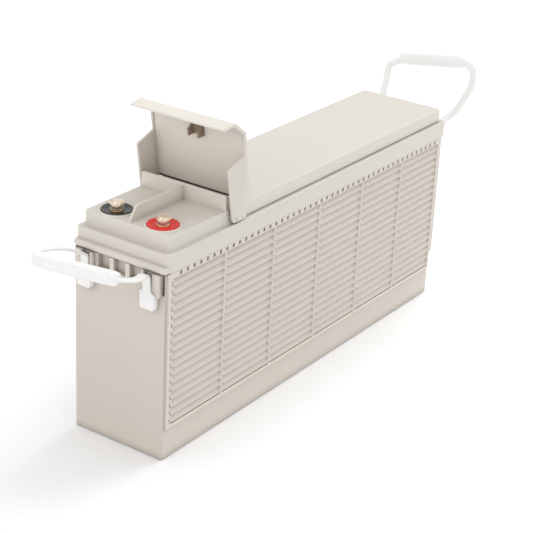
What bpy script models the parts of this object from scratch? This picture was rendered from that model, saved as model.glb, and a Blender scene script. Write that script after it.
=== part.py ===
"""Front-terminal lead-acid block for a battery rack: louvred case, lid, hood over the terminals.

X is the width, Y the length with the terminals at -Y, Z up; the origin is under the middle of the base.
"""

import math

import bmesh
import bpy
import numpy as np
from mathutils import Vector

MM = 0.001
GAP = 0.3 * MM                      # left between pieces that touch

# ---- driving sizes -------------------------------------------------------------------------------
WIDTH = 110 * MM                    # over the rim and the louvred sides
BASE_LENGTH = 489 * MM
BASE_HEIGHT = 31.2 * MM             # smooth plinth under the louvres
BASE_INSET = 2.2 * MM               # plinth and end faces behind the louvre frame
REAR_PAD = 6 * MM                   # rear face stands out this far above REAR_PAD_BOTTOM
REAR_PAD_BOTTOM = 50 * MM
CASE_HEIGHT = 190 * MM              # shoulder that the lid's skirt comes down to
FLOOR = 4 * MM
END_WALL = 10 * MM
SIDE_WALL = 3.5 * MM                # behind the louvres
PARTITION = 2 * MM
CELLS = 6
TONGUE_HEIGHT = 15 * MM             # top edge of the case, inside the lid
TONGUE_INSET = 3.8 * MM

LOUVRE_ROWS = 18
LOUVRE_DEPTH = 3.5 * MM             # root of a louvre behind the frame's face
LOUVRE_TIP = 0.7 * MM               # tip of a louvre behind the frame's face
FRAME_SETBACK = 2.6 * MM            # louvre frame's ends behind the plinth's ends
FRAME_FRONT = 8.2 * MM
FRAME_REAR = 3 * MM
FRAME_FOOT = 4.8 * MM
FRAME_HEAD = 5.5 * MM
MULLION = 4 * MM

RIM_OVERHANG = 3 * MM               # lip and rim over the end faces
RIM_RADIUS = 6 * MM
SKIRT_GAP = 0.5 * MM                # shadow line between case shoulder and skirt
LIP_HEIGHT = 7 * MM
BAND_SETBACK = 5.5 * MM             # band above the front lip
LID_RISE = 18.6 * MM                # ledge above the case's shoulder
DECK_RISE = 14.4 * MM               # deck and top cover above the ledge
DECK_INSET = 4.3 * MM               # ledge left along each long side
DECK_SETBACK = 12.5 * MM            # from the front lip
DECK_LENGTH = 96 * MM
DECK_RADIUS = 4 * MM
COVER_SETBACK = 6.3 * MM            # from the rear rim
COVER_WALL = 2.2 * MM
COVER_GAP = 0.3 * MM

BACK_WALL_BACK = 82.5 * MM          # wall across the deck, from the deck's front
BACK_WALL = 3 * MM
BACK_WALL_HEIGHT = 14.6 * MM
DIVIDER = 2.5 * MM
DIVIDER_HEIGHT = 14 * MM
DIVIDER_SLOPE = 9.5 * MM
DIVIDER_SETBACK = 3.5 * MM

TERMINAL_X = 27 * MM
TERMINAL_BACK = 18.5 * MM           # from the deck's front
COLLAR_DIAMETER = 30 * MM
COLLAR_HEIGHT = 3.4 * MM
COLLAR_RECESS = 1.5 * MM
RING_DIAMETER = 35 * MM             # moulded ring round each collar
RING_HEIGHT = 0.8 * MM
INSERT_DIAMETER = 12 * MM
INSERT_TOP = 1.2 * MM               # above the deck
INSERT_LENGTH = 14.6 * MM
BOLT_DIAMETER = 6 * MM
BOLT_HEAD = 13 * MM                 # across flats
BOLT_HEAD_HEIGHT = 4.2 * MM
BOLT_LENGTH = 13 * MM
WASHER_DIAMETER = 12.5 * MM
WASHER = 1.2 * MM
SPRING_WASHER_DIAMETER = 11.5 * MM
SPRING_WASHER = 1.5 * MM
SEAL_SECTION = 2 * MM
POLE_DIAMETER = 10 * MM

HINGE_BACK = 89.8 * MM              # from the deck's front
HINGE_DROP = 8 * MM                 # below the deck
HINGE_PIN = 4 * MM
HINGE_PIN_DEPTH = 7 * MM
HOOD_OPEN = math.radians(81)        # how far the hood stands open
HOOD_WALL = 2.4 * MM
HOOD_GAP = 0.4 * MM                 # over the back wall when closed
HOOD_REAR = 7.8 * MM                # along the top, from the hinge line forwards
HOOD_REACH = 3.7 * MM               # its lip in front of the deck
HOOD_SLOPE_LENGTH = 16 * MM         # the sloped front, along and down
HOOD_SLOPE = 14.9 * MM
HOOD_LIP_BOTTOM = 0.8 * MM          # above the ledge when closed
FLAP_LENGTH = 51 * MM
FLAP_LEAN = 4.5 * MM
FLAP_DROP = 3.5 * MM                # below the hinge
FLAP_HEEL = 5 * MM                  # behind the hinge, at the bottom
FLAP_HEEL_TOP = 7.5 * MM
FLAP_SHOULDER = 17 * MM
FLAP_WALL = 2.6 * MM
HOOD_RIB = 4 * MM                   # side rim forward of the flap
LATCH_BACK = 14 * MM                # behind the sloped front
LATCH_LENGTH = 9.5 * MM
LATCH_DEPTH = 7 * MM
LATCH_THICKNESS = 2.2 * MM
LATCH_X = 5.8 * MM
LATCH_BASE = 0.5 * MM

VALVE_DIAMETER = 13 * MM
VALVE_HEIGHT = 7 * MM
VALVE_BORE = 8 * MM
VALVE_X = 16 * MM
WELL_WALL = 2 * MM
WELL_HEIGHT = 3 * MM

POCKET_WIDTH = 13.3 * MM            # openings between the ribs under the lip
POCKET_PITCH = 18.5 * MM
POCKET_DEPTH = 5.4 * MM
POCKET_HEIGHT = 14 * MM
CORNER_SLOT = 3.4 * MM
CORNER_SLOT_X = 49.8 * MM
CORNER_SLOT_HEIGHT = 20 * MM

HANDLE_X = 36.5 * MM                # leg of a strap from the middle
STRAP_WIDTH = 8.5 * MM
STRAP_THICKNESS = 3.2 * MM
STRAP_OFFSET = 5.6 * MM             # leg's centre from the end face
HANDLE_AXIS_DROP = 1.4 * MM         # swing line below the case's shoulder
FOLD_CLEARANCE = 0.3 * MM           # from the anchor to a strap that hangs down in front of it
LUG_DEPTH = 5 * MM
LUG_INNER = 2.6 * MM
LUG_OUTER = 8 * MM
LUG_HEIGHT = 16.5 * MM
LUG_SLANT = 5.5 * MM
CHANNEL_CLEARANCE = 0.5 * MM
ANCHOR_HEIGHT = 18 * MM
ANCHOR_DEPTH = 7 * MM
ANCHOR_OVERLAP = 4.2 * MM           # anchor wider than the channel, on the outer side
GRIP_WIDTH = 15.5 * MM
GRIP_THICKNESS = 14 * MM
GRIP_END = 4 * MM                   # strap's last stretch, straight inside the grip
GRIP_STEPS = 8                      # path points that lie inside each end of the grip

PLATE = 5 * MM
CELL_CLEARANCE = 3.75 * MM          # from the outer plates to the partitions
POSITIVE_PLATES = 4
HEADROOM = 25 * MM                  # over the plates, below the case's shoulder
PLATE_CLEARANCE = 3.5 * MM          # beside the plates
PLATE_FOOT = 8 * MM
PLATE_LUG_X = 25 * MM
PLATE_LUG = 14 * MM
PLATE_LUG_RISE = 13 * MM
STRAP_BAR = 8 * MM
SEPARATOR = 1.4 * MM
CONNECTOR = 4.5 * MM
CONNECTOR_REACH = 7 * MM
BUSBAR = 5 * MM
BUSBAR_WIDTH = 12 * MM
BUSBAR_DROP = 6.5 * MM              # below the top of the partitions
BUSBAR_X = -6 * MM

# ---- places worked out from the sizes -------------------------------------------------------------
HALF = WIDTH / 2
BODY_HALF = HALF - BASE_INSET
FRONT_FACE = -BASE_LENGTH / 2
BASE_REAR = BASE_LENGTH / 2
REAR_FACE = BASE_REAR + REAR_PAD
FRAME_Y0 = FRONT_FACE + FRAME_SETBACK
FRAME_Y1 = BASE_REAR - FRAME_SETBACK
LIP_FRONT = FRONT_FACE - RIM_OVERHANG
RIM_REAR = REAR_FACE + RIM_OVERHANG
BAND_FRONT = LIP_FRONT + BAND_SETBACK
SKIRT_BOTTOM = CASE_HEIGHT + SKIRT_GAP
TONGUE_TOP = CASE_HEIGHT + TONGUE_HEIGHT
TONGUE_Y0 = BAND_FRONT + TONGUE_INSET
TONGUE_Y1 = FRAME_Y1
LEDGE_HEIGHT = CASE_HEIGHT + LID_RISE
DECK_HEIGHT = LEDGE_HEIGHT + DECK_RISE
DECK_WIDTH = WIDTH - 2 * DECK_INSET
DECK_Y0 = LIP_FRONT + DECK_SETBACK
DECK_Y1 = DECK_Y0 + DECK_LENGTH
COVER_Y0 = DECK_Y1 + COVER_GAP
COVER_Y1 = RIM_REAR - COVER_SETBACK
CAVITY_HALF = HALF - LOUVRE_DEPTH - SIDE_WALL
CAVITY_Y0 = FRONT_FACE + END_WALL
CAVITY_Y1 = BASE_REAR - END_WALL
CELL = (CAVITY_Y1 - CAVITY_Y0 - (CELLS - 1) * PARTITION) / CELLS
PLATE_PITCH = (CELL - 2 * CELL_CLEARANCE - PLATE) / POSITIVE_PLATES
PLATE_TOP = CASE_HEIGHT - HEADROOM
PLATE_WIDTH = 2 * (CAVITY_HALF - PLATE_CLEARANCE)
STRAP_BAR_BOTTOM = PLATE_TOP + PLATE_LUG_RISE
BUSBAR_BOTTOM = TONGUE_TOP - BUSBAR_DROP
BACK_WALL_Y = DECK_Y0 + BACK_WALL_BACK
TERMINAL_Y = DECK_Y0 + TERMINAL_BACK
INSERT_Z1 = DECK_HEIGHT + INSERT_TOP
INSERT_Z0 = INSERT_Z1 - INSERT_LENGTH
SEAL_Z = INSERT_Z0 + INSERT_LENGTH / 2
HINGE_Y = DECK_Y0 + HINGE_BACK
HINGE_Z = DECK_HEIGHT - HINGE_DROP
HOOD_RISE = HINGE_DROP + BACK_WALL_HEIGHT + HOOD_GAP + HOOD_WALL
HOOD_FRONT = HINGE_BACK + HOOD_REACH
HOOD_BEND = HOOD_FRONT - HOOD_SLOPE_LENGTH
LATCH_START = HOOD_BEND - LATCH_BACK
LUG_BOTTOM = CASE_HEIGHT - LUG_HEIGHT
HANDLE_AXIS_Z = CASE_HEIGHT - HANDLE_AXIS_DROP
FOLD_OFFSET = ANCHOR_DEPTH + STRAP_THICKNESS / 2 + FOLD_CLEARANCE
FRONT_AXIS_Y = FRONT_FACE - FOLD_OFFSET
REAR_AXIS_Y = REAR_FACE + FOLD_OFFSET


# ---- modelling tools ------------------------------------------------------------------------------
def material(name, colour, roughness, metallic=0.0):
    made = bpy.data.materials.get(name) or bpy.data.materials.new(name)
    made.use_nodes = True
    shader = made.node_tree.nodes["Principled BSDF"]
    shader.inputs["Base Color"].default_value = (*colour, 1.0)
    shader.inputs["Roughness"].default_value = roughness
    shader.inputs["Metallic"].default_value = metallic
    return made


def from_bmesh(name, bm, finish=None, origin=(0, 0, 0)):
    """The mesh as an object whose origin is at the point given."""
    bmesh.ops.recalc_face_normals(bm, faces=bm.faces)
    bmesh.ops.translate(bm, verts=bm.verts, vec=-Vector(origin))
    mesh = bpy.data.meshes.new(name)
    bm.to_mesh(mesh)
    bm.free()
    made = bpy.data.objects.new(name, mesh)
    made.location = origin
    bpy.context.scene.collection.objects.link(made)
    if finish:
        mesh.materials.append(finish)
    return made


def add_prism(bm, outline, start, end):
    """A closed outline of 3-D points, carried from one offset to another."""
    low = [bm.verts.new(Vector(point) + Vector(start)) for point in outline]
    high = [bm.verts.new(Vector(point) + Vector(end)) for point in outline]
    bm.faces.new(low)
    bm.faces.new(high)
    for i, vertex in enumerate(low):
        j = (i + 1) % len(low)
        bm.faces.new((vertex, low[j], high[j], high[i]))


def add_box(bm, low, high):
    outline = [(low[0], low[1], 0), (high[0], low[1], 0), (high[0], high[1], 0), (low[0], high[1], 0)]
    add_prism(bm, outline, (0, 0, low[2]), (0, 0, high[2]))


def box(name, low, high, finish=None):
    bm = bmesh.new()
    add_box(bm, low, high)
    return from_bmesh(name, bm, finish)


def boxes(name, pairs, finish=None):
    bm = bmesh.new()
    for low, high in pairs:
        add_box(bm, low, high)
    return from_bmesh(name, bm, finish)


def arc(cx, cy, radius, start, end, steps):
    """Points on an arc, in degrees."""
    return [(cx + radius * math.cos(a), cy + radius * math.sin(a))
            for a in np.radians(np.linspace(start, end, steps + 1))]


def round_outline(x0, y0, x1, y1, radius, steps=3):
    return (arc(x1 - radius, y1 - radius, radius, 0, 90, steps)
            + arc(x0 + radius, y1 - radius, radius, 90, 180, steps)
            + arc(x0 + radius, y0 + radius, radius, 180, 270, steps)
            + arc(x1 - radius, y0 + radius, radius, 270, 360, steps))


def slab(name, outline, z0, z1, finish=None):
    """An outline in X and Y, carried up."""
    bm = bmesh.new()
    add_prism(bm, [(x, y, 0) for x, y in outline], (0, 0, z0), (0, 0, z1))
    return from_bmesh(name, bm, finish)


def side_prism(name, outline, x0, x1, finish=None):
    """An outline in Y and Z, carried along X."""
    bm = bmesh.new()
    add_prism(bm, [(0, y, z) for y, z in outline], (x0, 0, 0), (x1, 0, 0))
    return from_bmesh(name, bm, finish)


def circle(cx, cy, diameter, steps):
    return arc(cx, cy, diameter / 2, 0, 360 - 360 / steps, steps - 1)


def cylinder(name, x, y, diameter, z0, z1, finish=None, steps=20):
    return slab(name, circle(x, y, diameter, steps), z0, z1, finish)


def turned(name, x, y, profile, finish, steps=20):
    """A closed profile of radius and height, turned about a vertical line."""
    bm = bmesh.new()
    rings = [[bm.verts.new((x + r * math.cos(a), y + r * math.sin(a), z)) for r, z in profile]
             for a in (2 * math.pi * i / steps for i in range(steps))]
    for i in range(steps):
        here, there = rings[i], rings[(i + 1) % steps]
        for j in range(len(profile)):
            k = (j + 1) % len(profile)
            bm.faces.new((here[j], there[j], there[k], here[k]))
    return from_bmesh(name, bm, finish)


def use(target, tool, operation):
    """Cut with a tool or join it on, and keep the tool as a hidden guide."""
    boolean = target.modifiers.new(tool.name, "BOOLEAN")
    boolean.operation = operation
    boolean.solver = "EXACT"
    boolean.object = tool
    tool.hide_render = True
    tool.display_type = "WIRE"


def cut(target, *tools):
    for tool in tools:
        use(target, tool, "DIFFERENCE")


def join(target, *tools):
    for tool in tools:
        use(target, tool, "UNION")


def smooth_path(points, steps):
    """A Catmull-Rom curve through the points, with a number of steps on each stretch."""
    pts = [Vector(p) for p in points]
    pts = [2 * pts[0] - pts[1]] + pts + [2 * pts[-1] - pts[-2]]
    path = []
    for i in range(1, len(pts) - 2):
        a, b, c, d = pts[i - 1:i + 3]
        for k in range(steps):
            t = k / steps
            path.append(0.5 * (2 * b + (c - a) * t + (2 * a - 5 * b + 4 * c - d) * t ** 2
                               + (3 * b - 3 * c + d - a) * t ** 3))
    return path + [pts[-2]]


def across_path(path, normal):
    """Direction and width direction at each point of a path that lies about square to a normal."""
    found = []
    for i in range(len(path)):
        along = (path[min(i + 1, len(path) - 1)] - path[max(i - 1, 0)]).normalized()
        found.append((along, normal.cross(along).normalized()))
    return found


def band(name, path, directions, width, thickness, finish=None, origin=(0, 0, 0)):
    """A rectangular section carried along a path, its width in the directions given."""
    bm = bmesh.new()
    rings = []
    for point, (along, across) in zip(path, directions):
        up = along.cross(across)
        rings.append([bm.verts.new(point + across * (sx * width / 2) + up * (sz * thickness / 2))
                      for sx, sz in ((-1, -1), (1, -1), (1, 1), (-1, 1))])
    for here, there in zip(rings, rings[1:]):
        for j in range(4):
            k = (j + 1) % 4
            bm.faces.new((here[j], there[j], there[k], here[k]))
    bm.faces.new(rings[0])
    bm.faces.new(rings[-1])
    return from_bmesh(name, bm, finish, origin)


def cell_start(cell):
    return CAVITY_Y0 + cell * (CELL + PARTITION)


# ---- the case -------------------------------------------------------------------------------------
def louvre_cutter(name, side, y0, y1):
    """What is taken out of one column: its inner side is a row of louvres, each wider at its foot."""
    z0 = BASE_HEIGHT + FRAME_FOOT
    pitch = (CASE_HEIGHT - FRAME_HEAD - z0) / LOUVRE_ROWS
    root, tip, outside = HALF - LOUVRE_DEPTH, HALF - LOUVRE_TIP, HALF + 2 * MM
    outline = [(outside, z0)]
    for row in range(LOUVRE_ROWS):
        outline += [(tip, z0 + row * pitch), (root, z0 + (row + 1) * pitch)]
    outline.append((outside, z0 + LOUVRE_ROWS * pitch))
    bm = bmesh.new()
    add_prism(bm, [(side * x, 0, z) for x, z in outline], (0, y0, 0), (0, y1, 0))
    return from_bmesh(name, bm)


def louvre_columns():
    """Where each column of louvres starts and ends along the case."""
    start, end = FRAME_Y0 + FRAME_FRONT, FRAME_Y1 - FRAME_REAR
    width = (end - start - (CELLS - 1) * MULLION) / CELLS
    return [(start + i * (width + MULLION), start + i * (width + MULLION) + width)
            for i in range(CELLS)]


def end_face_work(case, face, out, tag):
    """Pockets between the ribs, corner slots and the strap channels' lugs at one end of the case."""
    top = CASE_HEIGHT + 1 * MM
    edges = sorted((face + out * 1 * MM, face - out * POCKET_DEPTH))
    pockets = [((x - POCKET_WIDTH / 2, edges[0], CASE_HEIGHT - POCKET_HEIGHT),
                (x + POCKET_WIDTH / 2, edges[1], top))
               for x in (-POCKET_PITCH, 0, POCKET_PITCH)]
    for side in (-1, 1):
        xs = sorted((side * CORNER_SLOT_X, side * (CORNER_SLOT_X + CORNER_SLOT)))
        pockets.append(((xs[0], edges[0], CASE_HEIGHT - CORNER_SLOT_HEIGHT), (xs[1], edges[1], top)))
    cut(case, boxes(tag + "_pockets", pockets))

    channel = STRAP_WIDTH / 2 + CHANNEL_CLEARANCE
    start, depth = face - out * 1 * MM, face + out * LUG_DEPTH
    for side in (-1, 1):
        inner, outer = HANDLE_X - channel, HANDLE_X + channel
        bm = bmesh.new()
        for outline in (
            [(inner - LUG_INNER, LUG_BOTTOM), (inner, LUG_BOTTOM),
             (inner, CASE_HEIGHT), (inner - LUG_INNER, CASE_HEIGHT)],
            [(outer, LUG_BOTTOM), (outer + LUG_OUTER, LUG_BOTTOM - LUG_SLANT),
             (outer + LUG_OUTER, CASE_HEIGHT), (outer, CASE_HEIGHT)],
        ):
            add_prism(bm, [(side * x, 0, z) for x, z in outline], (0, start, 0), (0, depth, 0))
        join(case, from_bmesh(f"{tag}_lugs_{'right' if side > 0 else 'left'}", bm))


def make_case(finish):
    case = slab("container", round_outline(-BODY_HALF, FRONT_FACE, BODY_HALF, BASE_REAR, 3 * MM),
                0, CASE_HEIGHT, finish)
    frame = box("case_frame", (-HALF, FRAME_Y0, BASE_HEIGHT), (HALF, FRAME_Y1, CASE_HEIGHT))
    pad = slab("case_rear_pad", round_outline(-BODY_HALF, FRAME_Y1 - 8 * MM, BODY_HALF, REAR_FACE, 3 * MM),
               REAR_PAD_BOTTOM, CASE_HEIGHT)
    tongue = box("case_tongue", (-HALF + TONGUE_INSET, TONGUE_Y0, CASE_HEIGHT - 2 * MM),
                 (HALF - TONGUE_INSET, TONGUE_Y1, TONGUE_TOP))
    join(case, frame, pad, tongue)
    end_face_work(case, FRONT_FACE, -1, "front")
    end_face_work(case, REAR_FACE, 1, "rear")

    cut(case, boxes("case_cells", [
        ((-CAVITY_HALF, cell_start(i), FLOOR), (CAVITY_HALF, cell_start(i) + CELL, TONGUE_TOP + 1 * MM))
        for i in range(CELLS)]))
    windows = []
    for i in range(1, CELLS):
        y0, y1 = cell_start(i) - PARTITION - 1 * MM, cell_start(i) + 1 * MM
        x = strap_x(i - 1, "negative")
        half = PLATE_LUG / 2 + GAP
        z0 = STRAP_BAR_BOTTOM + STRAP_BAR
        windows.append(((x - half, y0, z0), (x + half, y1, z0 + CONNECTOR + 2 * GAP)))
        windows.append(((BUSBAR_X - BUSBAR_WIDTH / 2 - GAP, y0, BUSBAR_BOTTOM - GAP),
                        (BUSBAR_X + BUSBAR_WIDTH / 2 + GAP, y1, BUSBAR_BOTTOM + BUSBAR + GAP)))
    cut(case, boxes("case_windows", windows))
    for i, (y0, y1) in enumerate(louvre_columns(), 1):
        cut(case, louvre_cutter(f"louvres_right_{i}", 1, y0, y1),
            louvre_cutter(f"louvres_left_{i}", -1, y0, y1))
    return case


# ---- the cells ------------------------------------------------------------------------------------
def strap_x(cell, polarity):
    """The polarities change sides from cell to cell, so that each joins the next straight across."""
    side = 1 if (cell % 2 == 0) == (polarity == "positive") else -1
    return side * PLATE_LUG_X


def plate_starts(cell, polarity):
    count = POSITIVE_PLATES + (polarity == "negative")
    middle = cell_start(cell) + CELL / 2
    first = middle - (count - 1) * PLATE_PITCH / 2 - PLATE / 2
    return [first + i * PLATE_PITCH for i in range(count)]


def make_plates(cell, polarity, finish):
    """The plates of one polarity, with their lugs and the bar that is cast across them."""
    x = strap_x(cell, polarity)
    starts = plate_starts(cell, polarity)
    name = f"{polarity}_plates_{cell + 1}"
    plates = box(name, (x - PLATE_LUG / 2, starts[0], STRAP_BAR_BOTTOM),
                 (x + PLATE_LUG / 2, starts[-1] + PLATE, STRAP_BAR_BOTTOM + STRAP_BAR), finish)
    lower = FLOOR + PLATE_FOOT
    inset = 0.5 * MM
    bodies = [((-PLATE_WIDTH / 2, y, lower), (PLATE_WIDTH / 2, y + PLATE, PLATE_TOP)) for y in starts]
    lugs = [((x - PLATE_LUG / 2 + inset, y + inset, PLATE_TOP - 2 * MM),
             (x + PLATE_LUG / 2 - inset, y + PLATE - inset, STRAP_BAR_BOTTOM + 2 * MM)) for y in starts]
    grids = boxes(name + "_grids", bodies)
    join(grids, boxes(name + "_lugs", lugs))
    join(plates, grids)
    return plates


def make_separator(cell, finish):
    """One glass mat folded to and fro between the plates."""
    spaces = sorted(plate_starts(cell, "positive") + plate_starts(cell, "negative"))
    free = spaces[1] - spaces[0] - PLATE
    half = PLATE_WIDTH / 2 + 1.5 * MM
    low, high = FLOOR + PLATE_FOOT - 3 * MM, PLATE_TOP - 2 * MM
    sheet = min(SEPARATOR, free - 2 * GAP)
    path = []
    for i, y in enumerate(spaces[1:]):
        y_mid = y - free / 2
        path += [(-half, y_mid), (half, y_mid)] if i % 2 == 0 else [(half, y_mid), (-half, y_mid)]
    return slab(f"separator_{cell + 1}", offset_path(path, sheet / 2), low, high, finish)


def offset_path(path, reach):
    """The outline of a sheet that follows a path with square turns."""
    left, right = [], []
    pts = [Vector((x, y)) for x, y in path]
    for i, p in enumerate(pts):
        before = (p - pts[i - 1]).normalized() if i else (pts[1] - p).normalized()
        after = (pts[i + 1] - p).normalized() if i + 1 < len(pts) else before
        n0, n1 = Vector((-before.y, before.x)), Vector((-after.y, after.x))
        shift = (n0 + n1) * (reach / (1 + n0.dot(n1)))
        left.append(tuple(p + shift))
        right.append(tuple(p - shift))
    return left + right[::-1]


def make_connector(cell, finish):
    """The bridge over a partition, from one cell's negative bar to the next cell's positive bar."""
    x = strap_x(cell, "negative")
    here = plate_starts(cell, "negative")[-1] + PLATE
    there = plate_starts(cell + 1, "positive")[0]
    z = STRAP_BAR_BOTTOM + STRAP_BAR + GAP
    return box(f"intercell_connector_{cell + 1}", (x - PLATE_LUG / 2, here - CONNECTOR_REACH, z),
               (x + PLATE_LUG / 2, there + CONNECTOR_REACH, z + CONNECTOR), finish)


def make_busbar(finish):
    """Brings the rear cell's polarity forward, over the partitions, to the left terminal."""
    z0, z1 = BUSBAR_BOTTOM, BUSBAR_BOTTOM + BUSBAR
    half = BUSBAR_WIDTH / 2
    rear_y = cell_start(CELLS - 1) + CELL / 2
    x_rear = strap_x(CELLS - 1, "negative")
    x0, x1 = BUSBAR_X - half, BUSBAR_X + half
    left = -TERMINAL_X - half
    outline = [(left, TERMINAL_Y - half), (x1, TERMINAL_Y - half), (x1, rear_y - half),
               (x_rear + half, rear_y - half), (x_rear + half, rear_y + half), (x0, rear_y + half),
               (x0, TERMINAL_Y + half), (left, TERMINAL_Y + half)]
    bar = slab("return_busbar", outline, z0, z1, finish)
    join(bar, box("busbar_leg", (x_rear - half + 1 * MM, rear_y - half + 1 * MM,
                                 STRAP_BAR_BOTTOM + STRAP_BAR + GAP),
                  (x_rear + half - 1 * MM, rear_y + half - 1 * MM, z1 - 1 * MM)))
    return bar


# ---- the lid --------------------------------------------------------------------------------------
def valve_places():
    """One valve for each cell, in a row from just behind the terminal deck to over the rear cell."""
    first = DECK_Y1 + GAP + VALVE_DIAMETER / 2 + WELL_WALL + COVER_WALL + 1.5 * MM
    last = cell_start(CELLS - 1) + CELL / 2
    return [first + (last - first) * i / (CELLS - 1) for i in range(CELLS)]


def make_lid(finish):
    lid = slab("lid", round_outline(-HALF, BAND_FRONT, HALF, RIM_REAR, RIM_RADIUS),
               SKIRT_BOTTOM, LEDGE_HEIGHT, finish)
    lip = slab("lid_lip", round_outline(-HALF, LIP_FRONT, HALF, BAND_FRONT + 4 * RIM_RADIUS, RIM_RADIUS),
               SKIRT_BOTTOM, SKIRT_BOTTOM + LIP_HEIGHT)
    deck = slab("lid_deck", round_outline(-DECK_WIDTH / 2, DECK_Y0, DECK_WIDTH / 2, DECK_Y1, DECK_RADIUS),
                LEDGE_HEIGHT - 1 * MM, DECK_HEIGHT)
    wall = box("lid_back_wall",
               (-DECK_WIDTH / 2 + 1 * MM, BACK_WALL_Y - BACK_WALL / 2, DECK_HEIGHT - 1 * MM),
               (DECK_WIDTH / 2 - 1 * MM, BACK_WALL_Y + BACK_WALL / 2, DECK_HEIGHT + BACK_WALL_HEIGHT))
    foot = DECK_Y0 + DIVIDER_SETBACK
    top = DECK_HEIGHT + DIVIDER_HEIGHT
    divider = side_prism("lid_divider", [
        (foot, DECK_HEIGHT - 1 * MM), (foot, DECK_HEIGHT), (foot + DIVIDER_SLOPE, top),
        (BACK_WALL_Y, top), (BACK_WALL_Y, DECK_HEIGHT - 1 * MM)], -DIVIDER / 2, DIVIDER / 2)
    join(lid, lip, deck, wall, divider)

    tops = []
    for y in valve_places():
        tops.append(cylinder("lid_valve_well", VALVE_X, y, VALVE_DIAMETER + 2 * WELL_WALL,
                             LEDGE_HEIGHT - 1 * MM, LEDGE_HEIGHT + WELL_HEIGHT, steps=16))
    for side in (-1, 1):
        tops.append(cylinder("lid_terminal_ring", side * TERMINAL_X, TERMINAL_Y, RING_DIAMETER,
                             DECK_HEIGHT - 1 * MM, DECK_HEIGHT + RING_HEIGHT, steps=28))
    join(lid, *tops)

    cuts = [box("lid_hollow", (-HALF + TONGUE_INSET - GAP, TONGUE_Y0 - GAP, SKIRT_BOTTOM - 1 * MM),
                (HALF - TONGUE_INSET + GAP, TONGUE_Y1 + GAP, TONGUE_TOP + GAP))]
    for y in valve_places():
        cuts.append(cylinder("lid_valve_seat", VALVE_X, y, VALVE_DIAMETER + 2 * GAP,
                             LEDGE_HEIGHT, LEDGE_HEIGHT + WELL_HEIGHT + 1 * MM, steps=16))
        cuts.append(cylinder("lid_valve_bore", VALVE_X, y, VALVE_BORE + 2 * GAP,
                             TONGUE_TOP, LEDGE_HEIGHT + 1 * MM, steps=12))
    for side in (-1, 1):
        x = side * TERMINAL_X
        cuts.append(cylinder("lid_collar_recess", x, TERMINAL_Y, COLLAR_DIAMETER + 2 * GAP,
                             DECK_HEIGHT - COLLAR_RECESS, DECK_HEIGHT + 2 * MM, steps=24))
        cuts.append(cylinder("lid_insert_bore", x, TERMINAL_Y, INSERT_DIAMETER + 2 * GAP,
                             TONGUE_TOP - 1 * MM, DECK_HEIGHT, steps=20))
        cuts.append(cylinder("lid_seal_bore", x, TERMINAL_Y, INSERT_DIAMETER + 2 * SEAL_SECTION + 4 * GAP,
                             SEAL_Z - SEAL_SECTION / 2 - GAP, SEAL_Z + SEAL_SECTION / 2 + GAP, steps=20))
        hole = side_prism("lid_hinge_hole", circle(HINGE_Y, HINGE_Z, HINGE_PIN + 2 * GAP, 12),
                          side * (DECK_WIDTH / 2 - HINGE_PIN_DEPTH), side * (DECK_WIDTH / 2 + 1 * MM))
        cuts.append(hole)
    cut(lid, *cuts)
    return lid


def make_top_cover(finish):
    """Lift-off cover over the vent valves, open underneath."""
    cover = slab("top_cover",
                 round_outline(-DECK_WIDTH / 2, COVER_Y0, DECK_WIDTH / 2, COVER_Y1, DECK_RADIUS),
                 LEDGE_HEIGHT + GAP, DECK_HEIGHT, finish)
    cut(cover, slab("cover_hollow", round_outline(
        -DECK_WIDTH / 2 + COVER_WALL, COVER_Y0 + COVER_WALL, DECK_WIDTH / 2 - COVER_WALL,
        COVER_Y1 - COVER_WALL, DECK_RADIUS - COVER_WALL / 2),
        LEDGE_HEIGHT - 1 * MM, DECK_HEIGHT - COVER_WALL))
    return cover


def make_valve(number, y, finish):
    """Rubber cap valve: a stem in the bore and a flanged head in its well."""
    z = LEDGE_HEIGHT + GAP
    head, stem = VALVE_DIAMETER / 2, VALVE_BORE / 2
    return turned(f"vent_valve_{number}", VALVE_X, y, [
        (1.2 * MM, z - 2 * MM), (stem, z - 2 * MM), (stem, z), (head, z), (head, z + 0.6 * VALVE_HEIGHT),
        (head - 1.5 * MM, z + VALVE_HEIGHT), (1.2 * MM, z + VALVE_HEIGHT)], finish, steps=14)


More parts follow.
